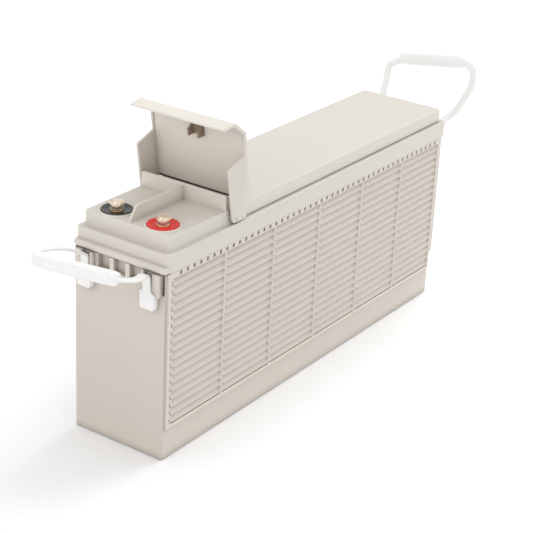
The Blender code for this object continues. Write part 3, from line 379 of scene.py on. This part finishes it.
def rounded(corners, radius, steps=4):
    """A closed outline with each corner P replaced by the curve (1-s)^2 A + 2s(1-s) P + s^2 B,
    where A and B lie the corner's own radius back along its two edges."""
    corners = np.asarray(corners, float)
    back = np.roll(corners, 1, 0) - corners
    on = np.roll(corners, -1, 0) - corners
    reach = np.broadcast_to(np.asarray(radius, float), len(corners))[:, None]
    a = corners + back / np.linalg.norm(back, axis=1, keepdims=True) * reach
    b = corners + on / np.linalg.norm(on, axis=1, keepdims=True) * reach
    s = np.linspace(0, 1, steps + 1)[None, :, None]
    bend = (1 - s) ** 2 * a[:, None] + 2 * s * (1 - s) * corners[:, None] + s ** 2 * b[:, None]
    return bend.reshape(-1, 2)


def box_outline(a0, a1, b0, b1):
    """The four corners of a rectangle from a0 to a1 and from b0 to b1."""
    return [(a0, b0), (a1, b0), (a1, b1), (a0, b1)]


def moulded(outline, layers, axes="xyz", side=1):
    """Rings of a moulding: its outline, drawn in by a layer's first number along the mitre of each
    pair of edges, at the depth that is the layer's second number. The outline's two axes and then
    the depth's are named in order; side mirrors the depth."""
    edge = np.roll(outline, -1, 0) - outline
    edge /= np.linalg.norm(edge, axis=1, keepdims=True)
    inward = np.stack([-edge[:, 1], edge[:, 0]], -1)
    before = np.roll(inward, 1, 0)
    if (outline * np.roll(outline, -1, 0)[:, ::-1] * [1, -1]).sum() < 0:
        inward, before = -inward, -before
    mitre = (inward + before) / (1 + (inward * before).sum(1, keepdims=True))
    layers = np.asarray(layers, float)
    flat = outline + layers[:, :1, None] * mitre
    depth = np.broadcast_to(side * layers[:, 1:, None], flat.shape[:2] + (1,))
    found = np.concatenate([flat, depth], -1)
    return found[..., [axes.index(letter) for letter in "xyz"]] * MM


def eased(low, high, radius, steps=3):
    """Layers of a plain slab whose two faces meet its edge in quarter rounds."""
    turn = np.linspace(0, np.pi / 2, steps + 1)
    first = np.stack([radius * (1 - np.sin(turn)), low + radius * (1 - np.cos(turn))], -1)
    last = np.stack([first[::-1, 0], low + high - first[::-1, 1]], -1)
    return np.concatenate([first, last])


HANDLE_X, CHANNEL = 36.5, 4.75
CHEEK_FOOT, CHEEK_DEPTH, CHEEK_INNER, CHEEK_OUTER, CHEEK_SLANT = 173.5, 5.0, 2.6, 8.0, 5.5
for tag, face, out in (("front", FRONT, -1), ("rear", REAR + PAD, 1)):
    cheeks = []
    for side in (-1, 1):
        inner, outer = HANDLE_X - CHANNEL, HANDLE_X + CHANNEL
        for corners in (box_outline(inner - CHEEK_INNER, inner, CHEEK_FOOT, SHOULDER),
                        [(outer, CHEEK_FOOT), (outer + CHEEK_OUTER, CHEEK_FOOT - CHEEK_SLANT),
                         (outer + CHEEK_OUTER, SHOULDER), (outer, SHOULDER)]):
            outline = rounded(np.array(corners) * [side, 1], 1.0, 2)
            cheeks.append(moulded(outline, eased(-1.0, CHEEK_DEPTH, 0.35, 2), "xzy", out)
                          + np.array([0, face, 0]) * MM)
    dressed(loft(f"{tag}_strap_cheeks", cheeks, CASE_GREY), "root", "case_abs")

# ---- The partitions -----------------------------------------------------------------------------
# Five thin walls across the tub keep the six cells apart. They are moulded in one with the case,
# and the lid is welded down on their tops.

CAVITY_FRONT, CAVITY_REAR, PARTITION, CELLS = -234.5, 234.5, 2.0, 6
room = (CAVITY_REAR - CAVITY_FRONT - (CELLS - 1) * PARTITION) / CELLS
walls = []
for number in range(1, CELLS):
    y0 = CAVITY_FRONT + number * (room + PARTITION) - PARTITION
    walls.append(moulded(rounded(box_outline(-48.1, 48.1, 3.9, 204.0), 0.4, 1),
                         [(0, y0), (0, y0 + PARTITION)], "xzy"))
dressed(loft("cell_partitions", walls, CASE_GREY), "root", "case_abs")

# ---- The lid ------------------------------------------------------------------------------------
# A shallow moulding welded over the case: a deep skirt with a half-round lip at the terminal end, a
# narrow ledge, and a raised deck for the terminals with a divider and a wall across it.

# the lid's tone carries a painted highlight on its edges and painted shade in its hollows
LID_GREY = moulded_plastic("lid_plastic", linear(205, 199, 190), 0.4, painted_edge_highlight=0.16, painted_hollow_shade=0.2)
SKIRT, LEDGE, DECK = 190.5, 208.6, 223.0
BAND_FRONT, RIM_REAR = -242.0, 253.5
DECK_HALF, DECK_FRONT, DECK_REAR = 50.7, -235.0, -139.0

band = rounded(box_outline(-HALF, HALF, BAND_FRONT, RIM_REAR), 6.0, 8)
skirt = moulded(band, [(3.2, 205.4), (3.2, SKIRT), (0.5, SKIRT), (0.15, SKIRT + 0.15),
                       (0, SKIRT + 0.6), (0, LEDGE - 1.5), (0.12, LEDGE - 0.8),
                       (0.5, LEDGE - 0.25), (1.2, LEDGE), (3.6, LEDGE)])
turn = np.linspace(-np.pi / 2, np.pi / 2, 9)
bead = np.stack([3.4 * (1 - np.cos(turn)), 194.0 + 3.5 * np.sin(turn)], -1)
lip = moulded(rounded(box_outline(-54.95, 54.95, -247.5, -226.0), [6, 6, 4, 4], 8), bead)
deck = moulded(rounded(box_outline(-DECK_HALF, DECK_HALF, DECK_FRONT, DECK_REAR), 4.0, 6),
               [(-0.5, LEDGE - 1), (-0.5, LEDGE + 0.1), (-0.1, LEDGE + 0.5), (0, LEDGE + 1.2),
                (0.25, DECK - 1.6), (0.4, DECK - 0.8), (0.8, DECK - 0.25), (1.6, DECK),
                (2.4, DECK)])
dressed(loft("lid_skirt", [skirt], LID_GREY), "root", "lid_abs", "lid")
dressed(loft("lid_lip", [lip], LID_GREY), "root", "lid_abs")
dressed(loft("terminal_deck", [deck], LID_GREY), "root", "lid_abs")

WALL_Y, WALL_TOP = -152.5, 237.6
cross = moulded(rounded(box_outline(-49.7, 49.7, DECK - 2.5, WALL_TOP), [0.9, 0.9, 1.5, 1.5], 3),
                eased(WALL_Y - 1.5, WALL_Y + 1.5, 0.5), "xzy")
rib = rounded([(-231.5, DECK - 2.5), (-231.5, DECK + 0.3), (-222.0, 237.0), (WALL_Y, 237.0),
               (WALL_Y, DECK - 2.5)], [0.8, 0.9, 1.4, 0.9, 0.9], 3)
divider = moulded(rib, eased(-1.25, 1.25, 0.4), "yzx")
dressed(loft("deck_walls", [cross, divider], LID_GREY), "root", "lid_abs")

# ---- The top cover ------------------------------------------------------------------------------
# A long plate of the lid's own plastic with a shallow turned-down edge. It is pressed over the
# valve wells behind the deck, and keeps dust off the six valves.

cover = moulded(rounded(box_outline(-DECK_HALF, DECK_HALF, -138.7, 247.2), 4.0, 6),
                [(2.2, 220.8), (2.2, 208.9), (1.0, 208.9), (0.9, 209.6), (0, 210.0),
                 (0.3, DECK - 1.6), (0.45, DECK - 0.8), (0.85, DECK - 0.25), (1.7, DECK),
                 (2.4, DECK)])
dressed(loft("valve_cover", [cover], LID_GREY), "root", "lid_abs", "top_cover")

# ---- The hood -----------------------------------------------------------------------------------
# One thin moulding shields the terminals: a flat top, a sloped front with a lip, and two flaps that
# turn on pins in the deck's sides. It stands open on its stop, a little short of upright.

HINGE_Y, HINGE_Z, OPEN = -145.2, 215.0, np.radians(81)
RISE, WALL, BEND, REACH = 25.4, 2.4, 77.5, 93.5
SLOPE_FOOT, LIP_LOW = RISE - 14.9, 208.6 + 0.8 - HINGE_Z


def opened(rings):
    """The closed hood's points (x, along, rise) turned about the hinge by its opening angle."""
    x, along, rise = np.moveaxis(rings, -1, 0)
    y, z = -along, rise
    c, s = np.cos(OPEN), np.sin(OPEN)
    return np.stack([x, HINGE_Y * MM + y * c + z * s, HINGE_Z * MM - y * s + z * c], -1)


sheet = rounded([(7.8, RISE - 0.05), (7.8, RISE - WALL), (BEND - 1, RISE - WALL),
                 (REACH - WALL, SLOPE_FOOT - 0.6), (REACH - WALL, LIP_LOW),
                 (REACH - 0.05, LIP_LOW), (REACH - 0.05, SLOPE_FOOT), (BEND, RISE - 0.05)],
                [0.7, 0.7, 2, 2, 0.7, 0.7, 2, 2], 3)
plate = moulded(sheet, [(0, -54.0), (0, 54.0)], "yzx")
flap = rounded([(-7.5, 17), (-5, -0.5), (-2, -3.5), (51, -3.5), (55.5, RISE - 4),
                (BEND - 1, RISE - 4), (REACH - 4, SLOPE_FOOT - 1), (REACH - WALL, SLOPE_FOOT - 4),
                (REACH - WALL, LIP_LOW), (REACH, LIP_LOW), (REACH, SLOPE_FOOT), (BEND, RISE),
                (7.8, RISE)],
               [2, 1.6, 1.6, 1.5, 1.5, 2, 1.5, 1, 0.9, 0.9, 2, 2, 1.5], 3)
shells = [plate] + [moulded(flap, eased(52.4, 54.97, 0.5), "yzx", side) for side in (-1, 1)]
hood = loft("hood_shell", [opened(shell) for shell in shells], LID_GREY)
dressed(hood, "hood", "hood_abs", "terminal_hood")

# a narrow stop window and a peg hole on each flap, as thin dark inlays whose colour is painted
# shade
PAINTED_SHADE = moulded_plastic("painted_shade_plastic", linear(84, 74, 64), 0.6)
window = rounded(box_outline(-142.2, -141.4, 208.6, 214.6), 0.35, 3)
hole = rounded(box_outline(-133.4, -132.3, 212.0, 213.1), 0.45, 3)
stops = [moulded(outline, [(0.1, 53.6), (0, 53.7), (0, 54.98), (0.1, 55.0)], "yzx", side)
         for outline in (window, hole) for side in (-1, 1)]
dressed(loft("flap_stops", stops, PAINTED_SHADE), "hood", "hood_abs")

# a strip along the rear edge closes the gap over the cover; its dark colour is painted shade
strip = moulded(rounded(box_outline(5.2, 9.5, RISE - 2.2, RISE - 0.6), 0.5, 3),
                eased(-52.2, 52.2, 0.3), "yzx")
dressed(loft("hood_rear_shade_strip", [opened(strip)], PAINTED_SHADE), "hood", "hood_abs")

# ---- The red and black collars ------------------------------------------------------------------
# Each terminal stands in a shallow glossy dish, red for positive and black for negative, let into a
# raised ring of the deck.


def turned(x, y, profile, steps=48):
    """Rings of a body of revolution: each (radius, height) of a profile, carried round an axis."""
    profile = np.asarray(profile, float)
    angle = np.linspace(0, 2 * np.pi, steps, endpoint=False)
    radius = profile[:, :1]
    return np.stack([x + radius * np.cos(angle), y + radius * np.sin(angle),
                     np.broadcast_to(profile[:, 1:], (len(profile), steps))], -1) * MM


TERMINAL_Y = -216.5
POLES = (("positive", 27.0, linear(222, 40, 35), "red_collar"),
         ("negative", -27.0, linear(40, 42, 40), "black_collar"))
for name, x, tint, slot in POLES:
    gloss = moulded_plastic(f"{name}_collar_plastic", tint, 0.3, 1200, 0.03 * MM, 0.12)
    dish = turned(x, TERMINAL_Y, [
        (6.3, 221.6), (14.6, 221.6), (15, 222.0), (15, 224.5), (14.8, 224.9), (14.3, 225.0),
        (13.5, 224.8), (12.0, 223.9), (9.5, 223.4), (7.2, 223.25), (6.3, 223.25)])
    dressed(loft(f"{name}_dish", [dish], gloss), "root", slot, f"{name}_collar")
    ring = turned(x, TERMINAL_Y, [
        (15.1, 222.4), (17.5, 222.4), (17.4, 223.3), (17.0, 223.8), (16.3, 224.1), (15.6, 224.0),
        (15.1, 223.5), (15.1, 222.6)], 64)
    dressed(loft(f"{name}_deck_ring", [ring], LID_GREY), "root", "lid_abs")

# ---- The terminal hardware ----------------------------------------------------------------------
# A brass insert carries a flat washer, a split spring washer and a hexagon bolt. The bolts and
# washers are plated, and they keep a warm tone.


def metal(name, tint, gloss):
    """Bright plated metal: a slow noise varies its tone and gloss, and a fine one its level."""
    made, place = start_finish(name)
    slow = place.node("TexNoise", {}, {"Vector": place, "Scale": 160.0, "Detail": 4.0})
    fine = place.node("TexNoise", {}, {"Vector": place, "Scale": 3120.0, "Detail": 2.0})
    tone = 1 + (slow - 0.5) * 0.3
    close_finish(place, tint, tone, gloss + (slow - 0.5) * 0.2, fine, 0.02 * MM, {"Metallic": 1.0})
    return made


BRASS = metal("turned_brass", linear(214, 180, 130), 0.35)
PLATED = metal("plated_copper", linear(238, 222, 200), 0.3)
STEEL = metal("plated_spring_steel", linear(214, 202, 184), 0.36)


def hexagon_bolt(x, y):
    """A six-sided head whose radius is the lesser of the flats' a / cos(angle to the flat's middle)
    and the chamfer's cone. Below it are a round neck and a plain shank, and a groove runs round
    its top."""
    sixth, flat = np.pi / 3, 6.5
    angle = np.linspace(0, 2 * np.pi, 72, endpoint=False)
    flats = flat / np.cos((angle + sixth / 2) % sixth - sixth / 2)
    shank = [(2.9, 218.0), (2.9, 227.8)]
    neck = [(5.8, 227.8), (6.0, 228.0), (6.0, 228.9)]
    head = [(7.2, 229.2), (7.5, 229.5), (7.5, 230.9), (7.2, 231.3), (6.7, 231.6)]
    top = [(5.6, 231.65), (5.2, 231.1), (4.8, 231.0), (4.5, 231.5), (4.4, 231.9), (4.1, 232.0),
           (1.5, 231.95)]
    rows = np.array(shank + neck + head + top)
    cone = np.broadcast_to(rows[:, :1], (len(rows), len(angle)))
    hexed = np.repeat([False, True, False], [len(shank + neck), len(head), len(top)])
    radius = np.where(hexed[:, None], np.minimum(flats, cone), cone)
    level = np.broadcast_to(rows[:, 1:], radius.shape)
    return np.stack([x + radius * np.cos(angle), y + radius * np.sin(angle), level], -1) * MM


def split_ring(x, y):
    """A rectangular section carried nearly once round, rising evenly by half a mm a turn."""
    angle = np.linspace(np.radians(8), np.radians(352), 60)[:, None]
    section = np.array([(3.3, 0), (5.7, 0), (5.7, 1.1), (3.3, 1.1)])
    radius, level = section[:, 0], section[:, 1]
    height = 226.0 + level + 0.5 * (angle / (2 * np.pi))
    return np.stack([x + radius * np.cos(angle), y + radius * np.sin(angle), height], -1) * MM


for name, x, _, _ in POLES:
    insert = turned(x, TERMINAL_Y, [(3.3, 209.8), (6.0, 209.8), (6.0, 223.7), (5.6, 224.2),
                                    (3.3, 224.2)])
    dressed(loft(f"{name}_insert", [insert], BRASS), "root", "brass", f"{name}_terminal_insert")
    washer = turned(x, TERMINAL_Y, [(3.2, 224.5), (6.05, 224.5), (6.25, 224.7), (6.25, 225.5),
                                    (6.0, 225.7), (3.2, 225.7)])
    dressed(loft(f"{name}_washer", [washer], PLATED), "root", "tinned_copper",
            f"{name}_flat_washer")
    dressed(loft(f"{name}_split_washer", [split_ring(x, TERMINAL_Y)], STEEL), "root",
            "spring_steel", f"{name}_spring_washer")
    dressed(loft(f"{name}_hex_bolt", [hexagon_bolt(x, TERMINAL_Y)], PLATED, 25), f"{name}_bolt",
            "tinned_copper", f"{name}_bolt")

# ---- The carrying straps ------------------------------------------------------------------------
# A soft white plastic strap crosses each end. It climbs out of its two channels, bends outwards
# under the lip, and ends inside a thick dimpled grip.

WHITE = moulded_plastic("strap_plastic", linear(238, 237, 235), 0.45, 900, 0.06 * MM, 0.03)


def dimpled_plastic(name, tint):
    """Soft grip: round dimples three millimetres apart, with painted shade at their centres."""
    made, place = start_finish(name)
    slow = place.node("TexNoise", {}, {"Vector": place, "Scale": 20.0, "Detail": 3.0})
    cells = place.node("TexVoronoi", {"feature": "SMOOTH_F1"},
                       {"Vector": place, "Scale": 330.0, "Smoothness": 0.3}, "Distance")
    # painted shade: the tone is lowest at each dimple's centre
    tone = 0.97 + (slow - 0.5) * 0.03 + cells * 0.06
    close_finish(place, tint, tone, 0.5 + (slow - 0.5) * 0.12, cells, 0.4 * MM, {"IOR": 1.5})
    return made


GRIP_WHITE = dimpled_plastic("grip_plastic", linear(238, 237, 236))


def curve(points, steps):
    """A Catmull-Rom curve: between two points it is a cubic that leaves each along the line that
    joins its neighbours."""
    p = np.asarray(points, float)
    p = np.concatenate([[2 * p[0] - p[1]], p, [2 * p[-1] - p[-2]]])
    a, b, c, d = (p[i:len(p) - 3 + i, None] for i in range(4))
    t = (np.arange(steps) / steps)[None, :, None]
    path = 0.5 * (2 * b + (c - a) * t + (2 * a - 5 * b + 4 * c - d) * t ** 2
                  + (3 * b - 3 * c + d - a) * t ** 3)
    return np.concatenate([path.reshape(-1, 3), p[-2:-1]])


def swept(path, width_way, widths, heights, power=4.0, around=20):
    """A section |a/w|^power + |b/h|^power = 1 carried along a path. Half the width, w, lies along
    the width direction made square to the path, and half the height, h, is normal to both."""
    along = np.gradient(path, axis=0)
    along /= np.linalg.norm(along, axis=1, keepdims=True)
    across = width_way - along * (width_way * along).sum(1, keepdims=True)
    across /= np.linalg.norm(across, axis=1, keepdims=True)
    up = np.cross(along, across)
    angle = np.linspace(0, 2 * np.pi, around, endpoint=False) + np.pi / around
    c, s = np.cos(angle), np.sin(angle)
    a = (np.sign(c) * np.abs(c) ** (2 / power))[:, None] * np.reshape(widths, (-1, 1, 1)) / 2
    b = (np.sign(s) * np.abs(s) ** (2 / power))[:, None] * np.reshape(heights, (-1, 1, 1)) / 2
    return path[:, None] + a * across[:, None] + b * up[:, None]


STRAP_Z, BAND_WIDTH, BAND_THICKNESS = 188.6, 8.5, 3.2
GRIP_WIDTH, GRIP_HEIGHT, GRIP_BOW, BAND_OVERLAP = 14.0, 13.2, 0.3, 0.07
straps = {
    "front": (-253.4, -1, [(1.5, -4.7, 2.0), (4.7, -14.7, 3.6), (6.0, -27.7, 7.2)],
              [(3.5, -40.0, 11.4), (3.0, -67.4, 19.2)],
              [(-2.0, -57.7, 20.8), (-0.7, -44.7, 19.6), (-0.3, -26.7, 14.0), (-0.1, -10.7, 6.6)]),
    "rear": (259.4, 1, [(0.5, 8.7, 4.0), (2.0, 23.7, 10.8), (7.5, 34.7, 19.0), (15.5, 40.7, 36.0),
                        (20.7, 43.0, 52.0), (19.5, 43.3, 68.0)],
             [(7.5, 43.7, 74.0), (0.5, 42.2, 62.5)],
             [(-11.5, 39.7, 53.5), (-12.5, 35.7, 44.0), (-9.0, 25.7, 31.0), (-5.5, 14.7, 18.0),
              (-2.0, 4.7, 7.0)]),
}
for tag, (axis_y, out, near, grip_ends, far) in straps.items():
    leg = np.array([(0, -3.3 * out, -17), (0, -3.3 * out, -8), (0, -2.9 * out, -3.0),
                    (0, -1.0 * out, -0.2)])
    first = np.concatenate([leg, near, grip_ends[:1]]) + [HANDLE_X, axis_y, STRAP_Z]
    last = np.concatenate([grip_ends[1:], far, leg[::-1]]) + [-HANDLE_X, axis_y, STRAP_Z]
    middle = (first[-1] + last[0]) / 2 - [0, axis_y, STRAP_Z]
    normal = np.cross([1.0, 0, 0], middle)
    normal /= np.linalg.norm(normal)
    reach = (last[0] - first[-1]) * BAND_OVERLAP
    bands = []
    for points in (np.append(first, [first[-1] + reach], 0),
                   np.append([last[0] - reach], last[1:], 0)):
        path = curve(points, 8)
        across = np.cross(normal, np.gradient(path, axis=0))
        sizes = np.ones(len(path))
        bands.append(swept(path, across, BAND_WIDTH * sizes, BAND_THICKNESS * sizes) * MM)
    piece = loft(f"{tag}_strap", bands, WHITE, 60)
    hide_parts(f"{tag}_handle_strap")
    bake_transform(piece)

    t = np.sin(np.linspace(-np.pi / 2, np.pi / 2, 32)) / 2 + 0.5
    span = first[-1] + (last[0] - first[-1]) * t[:, None]
    swell = np.interp(np.minimum(t, 1 - t), [0, 0.012, 0.035, 0.07, 0.5],
                      [0.78, 0.88, 0.96, 0.99, 1.02])
    bow = normal * np.cos((t - 0.5) * np.pi)[:, None] * GRIP_BOW
    line = np.cross(normal, last[0] - first[-1])
    grip = swept(span + bow, np.broadcast_to(line, span.shape), GRIP_WIDTH * swell,
                 GRIP_HEIGHT * swell, 3.0, 28)
    dressed(loft(f"{tag}_grip", [grip * MM], GRIP_WHITE, 60), f"{tag}_handle",
            "grip_polypropylene", f"{tag}_handle_grip")

# ---- The strap feet -----------------------------------------------------------------------------
# The foot of each strap is a thick block of the same white plastic, moulded in one with the strap
# and caught under the cheeks of its channel, so that a pull on the grip seats it harder.

FOOT_LOW, FOOT_HEAD, FOOT_THICKNESS = 155.0, 176.5, 7.0
for tag, face, out in (("front", FRONT, -1), ("rear", REAR + PAD, 1)):
    for side, where in ((1, "right"), (-1, "left")):
        inner, outer = HANDLE_X - CHANNEL - 2.6, HANDLE_X + CHANNEL
        corners = [(inner + 1.2, FOOT_LOW), (outer + 3.4, FOOT_LOW), (outer + 4.2, 158.0),
                   (outer + 4.2, 170.0), (outer, 172.8), (outer - 0.5, FOOT_HEAD),
                   (inner + 3.1, FOOT_HEAD), (inner + 3.1, 173.0), (inner, 173.0), (inner, 158.0)]
        outline = rounded(np.array(corners) * [side, 1], 1.0, 3)
        block = moulded(outline, eased(0.2, FOOT_THICKNESS, 0.55), "xzy", out)
        block = block + np.array([0, face, 0]) * MM
        dressed(loft(f"{tag}_{where}_strap_foot", [block], WHITE, 40), "root",
                "strap_polypropylene", f"{tag}_{where}_anchor")

# ---- The parts inside ---------------------------------------------------------------------------
# Pasted plates, glass mat, cast lead and rubber valves fill the cells. These, the nylon hinge pins
# and the hood's latch keep the frame's own solids, and each takes the finish of its stuff, though
# the latch's darker tone is painted shade.


def rough_matter(name, tint, rough, scale, depth, mottle, metallic=0.0):
    """A dull, uneven stuff: two noises vary its tone, the slow one its gloss, and both its level,
    to which the fine one adds three tenths of its own."""
    made, place = start_finish(name)
    slow = place.node("TexNoise", {}, {"Vector": place, "Scale": float(scale), "Detail": 5.0})
    fine = place.node("TexNoise", {}, {"Vector": place, "Scale": scale * 9.0, "Detail": 2.0})
    tone = 1 + (slow - 0.5) * mottle + (fine - 0.5) * mottle
    close_finish(place, tint, tone, rough + (slow - 0.5) * 0.2, slow + fine * 0.3, depth,
                 {"Metallic": metallic})
    return made


POSITIVE_PASTE, NEGATIVE_PASTE = (0.075, 0.035, 0.025, 1), (0.20, 0.21, 0.22, 1)
GLASS_MAT, CAST_LEAD = (0.82, 0.82, 0.79, 1), (0.24, 0.25, 0.27, 1)
RUBBER = (0.018, 0.018, 0.018, 1)
lead = rough_matter("cast_lead_finish", CAST_LEAD, 0.5, 90, 0.2 * MM, 0.35, 1.0)
rubber = rough_matter("valve_rubber_finish", RUBBER, 0.6, 400, 0.05 * MM, 0.4)
STUFFS = {
    "positive_plates": rough_matter("positive_paste_finish", POSITIVE_PASTE, 0.85, 120,
                                    0.3 * MM, 0.5),
    "negative_plates": rough_matter("negative_paste_finish", NEGATIVE_PASTE, 0.75, 120,
                                    0.3 * MM, 0.4),
    "separator": rough_matter("glass_mat_finish", GLASS_MAT, 0.95, 700, 0.2 * MM, 0.15),
    "intercell": lead, "return_busbar": lead,
    "positive_terminal_pole": lead, "negative_terminal_pole": lead,
    "vent_valve": rubber, "positive_terminal_seal": rubber, "negative_terminal_seal": rubber,
    # the latch's darker tone is painted shade, for the shadow between its hooks
    "hood_latch": moulded_plastic("latch_shaded_plastic", linear(138, 120, 102), 0.45),
    "hinge_pin": moulded_plastic("pin_nylon_finish", linear(196, 186, 172), 0.4),
}
for name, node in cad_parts.items():
    stuff = next((stuff for start, stuff in STUFFS.items() if name.startswith(start)), None)
    if stuff:
        node.data.materials.clear()
        node.data.materials.append(stuff)

# ---- The floor ----------------------------------------------------------------------------------
# A plain pale sheet of matt board, round and wide enough to fill the view from any side. The
# battery only rests on it, and it is no part of the object.

FLOOR_RADIUS, FLOOR_FOOT, FLOOR_TOP = 9000, -20, -0.05
floor = loft("studio_floor",
             [turned(0, 0, [(FLOOR_RADIUS, FLOOR_FOOT), (FLOOR_RADIUS, FLOOR_TOP)], 64)],
             moulded_plastic("floor_board", (0.99, 0.99, 0.99, 1), 0.9, 300, 0.02 * MM, 0.01))
